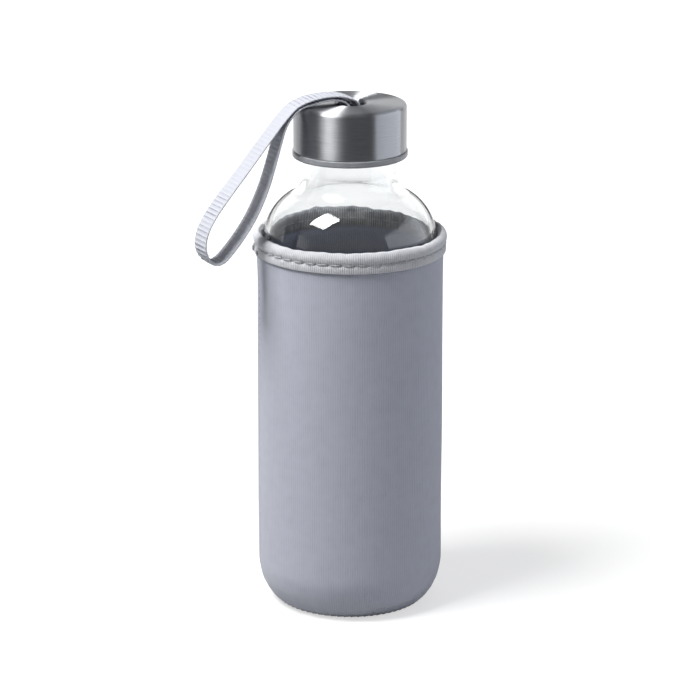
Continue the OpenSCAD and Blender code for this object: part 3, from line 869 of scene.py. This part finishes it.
def folded_tape(radius, height, angle):
    """The tape's edge wanders and its thread pinches it."""
    high = np.clip((height - BINDING_STITCH) / 4, 0, 1)
    sway = (0.16 * np.sin(4 * angle + 0.6) + 0.12 * np.sin(7 * angle + 2.1)
            + 0.08 * np.sin(13 * angle + 1.0) + 0.05 * np.sin(29 * angle))
    # at the back the tape is less stretched and its edge wanders more
    sway = (sway + 0.08 * np.sin(41 * angle + 1.7)) * (1 + 0.9 * np.clip(np.sin(angle), 0, 1))
    # the thread pinches the tape where it goes in, half way between two stitches
    outer = radius > 33.9
    near = np.exp(-((height - BINDING_STITCH + 0.1) / 0.5) ** 2) * outer
    tuck = 0.5 - 0.5 * np.cos(BINDING_COUNT * (angle - math.radians(STITCH_START)))
    radius = radius - near * (0.06 + 0.6 * tuck ** 4)
    roll = (0.10 * np.sin(BINDING_COUNT * (angle - SEAM_TURN))
            * np.exp(-((height - 140.2) / 1.2) ** 2))
    off = seam_distance(angle, 35.0)
    lap = np.exp(-(off / 3.0) ** 2)
    return radius + roll * outer * 0.5 - 0.15 * lap * outer, height + high * sway


outline = [(34.1, 135.35), (34.4, 135.15)]
outline += arc((35.05, 135.5), 0.3, -90, 0, 4)
outline += [(35.42, 136.0), (35.45, 136.6), (35.44, 137.2), (35.37, 137.8), (35.27, 138.2),
            (35.24, 138.45), (35.3, 138.75), (35.45, 139.1)]
outline += [(35.58, 139.5), (35.68, 140.0), (35.7, 140.5), (35.62, 141.0), (35.45, 141.5),
            (35.2, 141.95), (34.85, 142.35), (34.45, 142.6), (34.0, 142.7), (33.55, 142.6),
            (33.15, 142.3), (32.85, 141.9), (32.66, 141.4), (32.58, 140.8), (32.54, 140.0),
            (32.56, 139.0), (32.56, 137.5), (32.52, 136.4), (32.55, 135.6)]
outline += [(32.75, 135.35), (33.05, 135.4), (33.18, 135.8), (33.2, 138.5), (33.2, 141.25)]
outline += [(33.4, 141.5), (33.8, 141.5), (33.97, 141.3), (33.97, 138.5), (33.97, 135.8)]
# four points to a rib
columns = TAPE_RIBS * 4
mouth_binding = lathe("sleeve_mouth_binding", outline, columns, shape=folded_tape)
mark(mouth_binding, "along", np.tile(np.arange(columns) * 2 * np.pi * TAPE_R * MM / columns,
                                     len(outline)))
# ribs on the two sides and over the roll, none inside the fold
row_strength = np.array([1.0 if z > 135.2 and (r > 34.3 or z > 142 or r < 32.9) else 0.0
                         for r, z in outline])
mark(mouth_binding, "rib", np.repeat(row_strength, columns))
# the rows inside the sleeve, which the tape's finish paints darker as painted shade
mark(mouth_binding, "inside", np.repeat([float(r < 33.6) for r, z in outline], columns))
grow(mouth_binding, ribs, rib_pitch=TAPE_RIB, rib_height=0.25 * MM, material=tape)
finish_piece(mouth_binding, "sleeve", tape, "binding_tape", "mouth_binding")

# %% [markdown]
# ## Sewing
# All the sewing comes from one tree. It takes a line on the cloth, steps along it by the
# stitch pitch and lays a short arched tube at each step, turned to the line and to the way
# out of the cloth. A seed gives each stitch its own slight slant, as a machine does.

# %% stitch tree
stitches, start, end = group("stitches", [
    ("Pitch", "Float"), ("Stitch length", "Float"), ("Thread radius", "Float"),
    ("Arch", "Float"), ("Sink", "Float"), ("Turn", "Float"), ("Slant", "Float"),
    ("Seed", "Int"), ("Material", "Material")])
line = add(stitches, "GeometryNodeMeshToCurve", {"Mesh": start.outputs["Geometry"]})
steps = add(stitches, "GeometryNodeResampleCurve",
            {"Curve": line, "Length": start.outputs["Pitch"]}, mode="LENGTH")
half = add(stitches, "ShaderNodeMath", {0: start.outputs["Stitch length"]}, {1: 0.5},
           operation="MULTIPLY")
back = add(stitches, "ShaderNodeMath", {0: half}, {1: -1.0}, operation="MULTIPLY")
down = add(stitches, "ShaderNodeMath", {0: start.outputs["Sink"]}, {1: -1.0}, operation="MULTIPLY")
first = add(stitches, "ShaderNodeCombineXYZ", {"X": back, "Z": down})
top = add(stitches, "ShaderNodeCombineXYZ", {"Z": start.outputs["Arch"]})
last = add(stitches, "ShaderNodeCombineXYZ", {"X": half, "Z": down})
bow = add(stitches, "GeometryNodeCurveQuadraticBezier",
          {"Start": first, "Middle": top, "End": last}, {"Resolution": 7})
cut = add(stitches, "GeometryNodeCurvePrimitiveCircle",
          {"Radius": start.outputs["Thread radius"]}, {"Resolution": 6})
tube = add(stitches, "GeometryNodeCurveToMesh",
           {"Curve": bow, "Profile Curve": cut.outputs["Curve"]}, {"Fill Caps": True})
ahead = add(stitches, "GeometryNodeInputTangent")
out_way = add(stitches, "GeometryNodeInputNamedAttribute", values={"Name": "out"},
              data_type="FLOAT_VECTOR")
facing = add(stitches, "FunctionNodeAxesToRotation", {0: out_way, 1: ahead}, primary_axis="Z",
             secondary_axis="X")
low = add(stitches, "ShaderNodeMath", {0: start.outputs["Slant"]}, {1: -1.0}, operation="MULTIPLY")
chance = add(stitches, "FunctionNodeRandomValue",
             {2: low, 3: start.outputs["Slant"], "Seed": start.outputs["Seed"]}, data_type="FLOAT")
spin = add(stitches, "ShaderNodeMath", {0: chance.outputs[1], 1: start.outputs["Turn"]},
           operation="ADD")
spin_by = add(stitches, "ShaderNodeCombineXYZ", {"Z": spin})
by = add(stitches, "FunctionNodeEulerToRotation", {0: spin_by})
laid = add(stitches, "FunctionNodeRotateRotation", {0: facing, 1: by}, rotation_space="LOCAL")
sewn = add(stitches, "GeometryNodeInstanceOnPoints",
           {"Points": steps, "Instance": tube, "Rotation": laid})
close_tree(stitches, sewn, start, end)
print("stitch tree:", len(stitches.nodes), "nodes")


def seam_line(name, points, outs):
    """An open line of points with the way out of the cloth at each."""
    mesh = bpy.data.meshes.new(name)
    mesh.from_pydata([tuple(p) for p in points], [(i, i + 1) for i in range(len(points) - 1)], [])
    layer = mesh.attributes.new("out", "FLOAT_VECTOR", "POINT")
    layer.data.foreach_set("vector", np.asarray(outs, dtype=np.float32).ravel())
    obj = bpy.data.objects.new(name, mesh)
    bpy.context.collection.objects.link(obj)
    return obj


def round_line(name, radius, height, start_deg, span_deg, lean=0.0):
    """A line round the sleeve in mm; lean tips the way out of the cloth up or down."""
    angle = np.radians(np.linspace(start_deg, start_deg + span_deg, 361))
    flat = np.stack([np.cos(angle), np.sin(angle), np.zeros_like(angle)], axis=1)
    points = flat * radius * MM + np.array([0, 0, height * MM])
    outs = flat * math.cos(lean) + np.array([0, 0, math.sin(lean)])
    return seam_line(name, points, outs)

# %% sewing
# radii in mm: the bottom of the tape's valley, the thread in it, and the row inside
VALLEY_R, OUTER_ROW_R, INNER_ROW_R = 35.25, 35.3, 32.48
binding_pitch = 2 * np.pi * VALLEY_R * MM / BINDING_COUNT
binding_stitches = round_line("binding_stitches", OUTER_ROW_R, BINDING_STITCH, STITCH_START, 348)
grow(binding_stitches, stitches, pitch=binding_pitch, stitch_length=0.78 * binding_pitch,
     thread_radius=0.27 * MM, arch=0.55 * MM, sink=0.35 * MM, turn=0.0, slant=0.08, seed=3,
     material=pale_thread)
finish_piece(binding_stitches, "sleeve", pale_thread, "thread", "binding_thread")
# the same row shows on the inside, where it faces the bottle and lies flatter
inner_pitch = 2 * np.pi * SLEEVE_IN * MM / BINDING_COUNT
inner_stitches = round_line("binding_stitches_inside", INNER_ROW_R, BINDING_STITCH, 0, 352,
                            lean=math.pi)
grow(inner_stitches, stitches, pitch=inner_pitch, stitch_length=0.8 * inner_pitch,
     thread_radius=0.13 * MM, arch=0.2 * MM, sink=0.08 * MM, turn=0.0, slant=0.06, seed=4,
     material=pale_thread)
finish_piece(inner_stitches, "sleeve", pale_thread, "thread")

# the side seam's thread lies in the dip between the two edges
SIDE_SEAM_R = 34.12
seam_z = np.linspace(14, 133.5, 200)
seam_way = np.array([math.cos(SEAM_TURN), math.sin(SEAM_TURN), 0.0])
seam_points = [seam_way * SIDE_SEAM_R * MM + np.array([0, 0, z * MM]) for z in seam_z]
side_stitches = seam_line("side_seam_stitches", seam_points, [seam_way] * len(seam_z))
grow(side_stitches, stitches, pitch=STITCH_PITCH * MM, stitch_length=2.0 * MM,
     thread_radius=0.2 * MM, arch=0.3 * MM, sink=0.3 * MM, turn=math.radians(58), slant=0.1,
     seed=5, material=slate_thread)
finish_piece(side_stitches, "sleeve", slate_thread, "thread", "side_seam_thread")

# the overlocked thread runs round the heel and leans out and down, as the cloth does there
BASE_SEAM_R, BASE_SEAM_Z = 27.7, 0.85
base_pitch = 2 * np.pi * BASE_SEAM_R * MM / stitches_round(BASE_SEAM_R)
base_stitches = round_line("base_seam_stitches", BASE_SEAM_R, BASE_SEAM_Z, 0, 360,
                           lean=math.radians(-55))
grow(base_stitches, stitches, pitch=base_pitch, stitch_length=2.0 * MM, thread_radius=0.24 * MM,
     arch=0.3 * MM, sink=0.2 * MM, turn=math.radians(72), slant=0.12, seed=7,
     material=slate_thread)
finish_piece(base_stitches, "sleeve", slate_thread, "thread", "base_seam_thread")

# %% [markdown]
# ## Lapped end of the tape
# Where the tape's two ends meet over the seam, the end is turned under, which a small bent pad
# of the same tape shows, and its cut yarns fray into two small dark tufts of short fibres.

# %% binding lap
def build_lap():
    """The turned end of the tape: a bent pad 5 mm wide, thicker along its fold."""
    wide, tall = 40, 26
    points, faces, uv = [], [], []
    for face in (1, 0):
        for i in range(tall):
            z = BINDING_LOW + 0.35 + (BINDING_TOP - BINDING_LOW - 0.75) * i / (tall - 1)
            # the pad follows the roll of the tape under it
            under = np.interp(z, [135, 136.6, 138.45, 140.4, 141.6, 142.5],
                              [35.2, 35.45, 35.15, 35.7, 35.45, 34.9])
            for k in range(wide):
                t = k / (wide - 1)
                angle = SEAM_TURN + (t - 0.5) * math.radians(8.6)
                ends = min(1, 8 * min(i, tall - 1 - i) / tall)
                edge = min(1, 6 * min(t, 1 - t)) ** 0.5 * ends ** 0.5
                fold = 0.22 * math.exp(-((t - 0.75) / 0.12) ** 2)
                lump = 0.10 * math.sin(9 * t + 1.3 * i) + 0.08 * math.sin(2.1 * i - 5 * t)
                r = under - 0.25 + face * (0.25 + edge * (0.2 + fold + 0.5 * lump))
                points.append((r * math.cos(angle) * MM, r * math.sin(angle) * MM, z * MM))
    size = wide * tall
    for i in range(tall - 1):
        for k in range(wide - 1):
            a = i * wide + k
            faces.append([a, a + 1, a + wide + 1, a + wide])
            faces.append([size + a, size + a + wide, size + a + wide + 1, size + a + 1])
    border = ([k for k in range(wide)] + [i * wide + wide - 1 for i in range(1, tall)]
              + [(tall - 1) * wide + k for k in range(wide - 2, -1, -1)]
              + [i * wide for i in range(tall - 2, 0, -1)])
    for a, b in zip(border, border[1:] + border[:1]):
        faces.append([a, size + a, size + b, b])
    for f in faces:
        uv += [((p % size % wide) * 0.14 * MM, (p % size // wide) * 0.3 * MM) for p in f]
    return piece("binding_lap_end", points, faces, uv)


binding_lap = build_lap()

fuzz, start, end = group("frayed fibres", [
    ("Density", "Float"), ("Fibre length", "Float"), ("Fibre radius", "Float"),
    ("Seed", "Int"), ("Material", "Material")])
scatter = add(fuzz, "GeometryNodeDistributePointsOnFaces",
              {"Mesh": start.outputs["Geometry"], "Density": start.outputs["Density"],
               "Seed": start.outputs["Seed"]})
tip = add(fuzz, "ShaderNodeCombineXYZ", {"Z": start.outputs["Fibre length"]})
bend = add(fuzz, "ShaderNodeVectorMath", {0: tip}, {1: (0.35, 0.1, 0.55)}, operation="MULTIPLY")
side_step = add(fuzz, "ShaderNodeCombineXYZ", {"X": start.outputs["Fibre length"]})
side_part = add(fuzz, "ShaderNodeVectorMath", {0: side_step}, {1: (0.5, 0, 0)},
                operation="MULTIPLY")
tip_at = add(fuzz, "ShaderNodeVectorMath", {0: tip, 1: side_part}, operation="ADD")
fibre_line = add(fuzz, "GeometryNodeCurveQuadraticBezier", {"Middle": bend, "End": tip_at},
                 {"Resolution": 4, "Start": (0, 0, 0)})
fibre_cut = add(fuzz, "GeometryNodeCurvePrimitiveCircle", {"Radius": start.outputs["Fibre radius"]},
                {"Resolution": 3})
fibre_tube = add(fuzz, "GeometryNodeCurveToMesh",
                 {"Curve": fibre_line, "Profile Curve": fibre_cut.outputs["Curve"]},
                 {"Fill Caps": True})
seed_two = add(fuzz, "ShaderNodeMath", {0: start.outputs["Seed"]}, {1: 11.0}, operation="ADD")
tumble = add(fuzz, "FunctionNodeRandomValue", {"Seed": seed_two},
             {0: (-0.7, -0.7, -3.14), 1: (0.7, 0.7, 3.14)}, data_type="FLOAT_VECTOR")
tumble_by = add(fuzz, "FunctionNodeEulerToRotation", {0: tumble.outputs[0]})
stand = add(fuzz, "FunctionNodeRotateRotation",
            {0: scatter.outputs["Rotation"], 1: tumble_by}, rotation_space="LOCAL")
size_by = add(fuzz, "FunctionNodeRandomValue", {"Seed": start.outputs["Seed"]},
              {2: 0.5, 3: 1.1}, data_type="FLOAT")
tuft = add(fuzz, "GeometryNodeInstanceOnPoints",
           {"Points": scatter.outputs["Points"], "Instance": fibre_tube, "Rotation": stand,
            "Scale": size_by.outputs[1]})
both = add(fuzz, "GeometryNodeJoinGeometry", {"Geometry": tuft})
fuzz.links.new(start.outputs["Geometry"], both.inputs["Geometry"])
close_tree(fuzz, both, start, end)
finish_piece(binding_lap, "sleeve", tape, "binding_tape", "binding_lap")
mark(binding_lap, "along", [math.atan2(-v.co.y, -v.co.x) * TAPE_R * MM
                            for v in binding_lap.data.vertices])
mark(binding_lap, "rib", [0.8] * len(binding_lap.data.vertices))


def build_tuft(name, turn_deg, height, wide, tall, reach):
    """A small domed patch of frayed yarn ends lying on the tape, sizes in mm."""
    points = []
    rings, sides = 5, 18
    for i in range(rings + 1):
        for k in range(sides):
            a, t = 2 * math.pi * k / sides, math.cos(math.pi / 2 * i / rings)
            off, z = wide / 2 * math.cos(a) * t, height + tall / 2 * math.sin(a) * t
            r = reach - 0.3 + 0.75 * math.sin(math.pi / 2 * i / rings)
            angle = math.radians(turn_deg) + off / reach
            points.append((r * math.cos(angle) * MM, r * math.sin(angle) * MM, z * MM))
    faces = ring_faces(rings + 1, sides)
    faces.append(list(range(sides))[::-1])
    obj = piece(name, points, faces)
    grow(obj, fuzz, density=1.6e7, fibre_length=0.7 * MM, fibre_radius=0.035 * MM, seed=2,
         material=frayed)
    finish_piece(obj, "sleeve", frayed, "binding_tape")
    return obj


tuft_low = build_tuft("lap_tuft_low", 187, 137.0, 2.6, 2.3, 35.5)
tuft_edge = build_tuft("lap_tuft_edge", 197, 136.6, 1.5, 1.5, 35.45)

# %% [markdown]
# ## What is soft
# The loop is a cord that goes back into the object at both ends. The sleeve was cut flat as one
# strip, as long as the way round in the middle of its foam, and a disc; this cell only prints
# the loop's length.

# %% soft goods
print("soft: one cord of", round(loop_length, 4), "m and two sheets")

# %% [markdown]
# ## Studio
# The bottle stands on a white table in front of white. One soft box stands at the front left,
# high up, with a weak fill low at the left. A wide pale board stands at the right, and the
# room is dim, which is what draws the dark bands on the steel and the thin dark lines at the
# edges of the glass. The soft box is made twice: one that cloth sees and one, less bright, that
# steel and glass mirror, so that each can be set on its own.

# %% floor
TABLE_R, TABLE_GLOW = 4.0, 0.59
# the white behind shows a little greyer through glass than beside it
GLASS_PASS = 0.88


def seen_share(tree):
    """How much of its white a ray is shown: all for the eye's own, less through glass."""
    ray = add(tree, "ShaderNodeLightPath")
    through = add(tree, "ShaderNodeMath", {0: ray.outputs["Is Transmission Ray"]},
                  {1: GLASS_PASS}, operation="MULTIPLY")
    return add(tree, "ShaderNodeMath", {0: ray.outputs["Is Camera Ray"], 1: through},
               operation="MAXIMUM")


floor_mesh = bpy.data.meshes.new("white table")
turns = np.arange(96) * 2 * np.pi / 96
floor_mesh.from_pydata([(TABLE_R * math.cos(a), TABLE_R * math.sin(a), 0) for a in turns], [],
                       [list(range(96))])
floor = bpy.data.objects.new("white_table", floor_mesh)
bpy.context.collection.objects.link(floor)
# White laminate lit from below: it glows evenly white for the eye, more so further out, while
# the light that it sends back to the bottle is that of a mid-grey board.
paper, tree, surface = new_finish("lit white table", Roughness=0.9, Specular_IOR_Level=0.1)
where = add(tree, "ShaderNodeTexCoord").outputs["Object"]
pulp = add(tree, "ShaderNodeTexNoise", {"Vector": where}, {"Scale": 900.0, "Detail": 2.0})
tone = add(tree, "ShaderNodeValToRGB", {"Fac": pulp.outputs[0]},
           stops=[(0.3, grey(0.43)), (0.7, grey(0.45))])
surface.inputs["Emission Color"].default_value = (1, 1, 1, 1)
away = add(tree, "ShaderNodeVectorMath", {0: where}, operation="LENGTH").outputs["Value"]
glow = add(tree, "ShaderNodeValToRGB", {"Fac": away},
           stops=[(0.16, grey(TABLE_GLOW)), (0.95, grey(0.98))])
lit = add(tree, "ShaderNodeMath", {0: glow, 1: seen_share(tree)}, operation="MULTIPLY")
feed(tree, surface, Base_Color=tone, Emission_Strength=lit)
floor_mesh.materials.append(paper)
floor.visible_glossy = False
print("table:", 2 * TABLE_R, "m across")

# %% lights
def lamp(name, turn, rise, distance, width, height, glow, aim=(0, 0, 0.12), colour="#FFFFFF"):
    """A soft box: turn is degrees from the front towards the right, rise is degrees up.
    glow is how bright its face is, so a bigger box gives more light."""
    data = bpy.data.lights.new(name, "AREA")
    data.shape = "RECTANGLE"
    data.size, data.size_y = width, height
    data.energy = glow * width * height * math.pi
    data.color = linear(colour)[:3]
    obj = bpy.data.objects.new(name, data)
    bpy.context.collection.objects.link(obj)
    a, e = math.radians(turn), math.radians(rise)
    way = Vector((math.sin(a) * math.cos(e), -math.cos(a) * math.cos(e), math.sin(e)))
    obj.location = Vector(aim) + way * distance
    obj.rotation_euler = way.to_track_quat("Z", "Y").to_euler()
    obj.visible_camera = False
    return obj


KEY_TURN, KEY_RISE = -61, 59
key = lamp("key soft box", KEY_TURN, KEY_RISE, 1.3, 0.52, 0.58, 26.0)
key.visible_glossy = False
fill = lamp("low left fill", -82, -4, 0.9, 0.8, 0.8, 0.9)
fill.visible_glossy = False
# the same soft box as steel and glass mirror it, 20 mm in front so the two don't coincide
face = lamp("key soft box face", KEY_TURN, KEY_RISE, 1.28, 0.51, 0.57, 20.0)
face.visible_diffuse = False
lamp("right board", 87, 8, 0.85, 1.2, 0.8, 1.3, colour="#F2F6FF")
lamp("back board", 180, 20, 1.5, 2.6, 1.0, 0.8)
lamp("overhead sheet", 0, 90, 1.6, 0.9, 0.9, 0.5)
# the lit table far behind the bottle, as polished surfaces see it: it lies 3 mm above the table
shine = lamp("lit table behind", 0, -90, 0.997, 1.6, 1.1, 1.0, aim=(0, 0.8, 1.0))
shine.visible_diffuse = False
shine.visible_transmission = False

world = bpy.data.worlds.new("dim studio")
world.use_nodes = True
bpy.context.scene.world = world
tree = world.node_tree
tree.nodes.clear()
room = add(tree, "ShaderNodeBackground", values={"Color": (0.12, 0.122, 0.128, 1), "Strength": 1.0})
white = add(tree, "ShaderNodeBackground", values={"Color": (1, 1, 1, 1), "Strength": 1.05})
mixed = add(tree, "ShaderNodeMixShader", {0: seen_share(tree), 1: room, 2: white})
add(tree, "ShaderNodeOutputWorld", {"Surface": mixed})
bpy.context.scene.view_settings.view_transform = "Standard"
bpy.context.scene.view_settings.look = "None"
bpy.context.scene.view_settings.exposure = 0.0
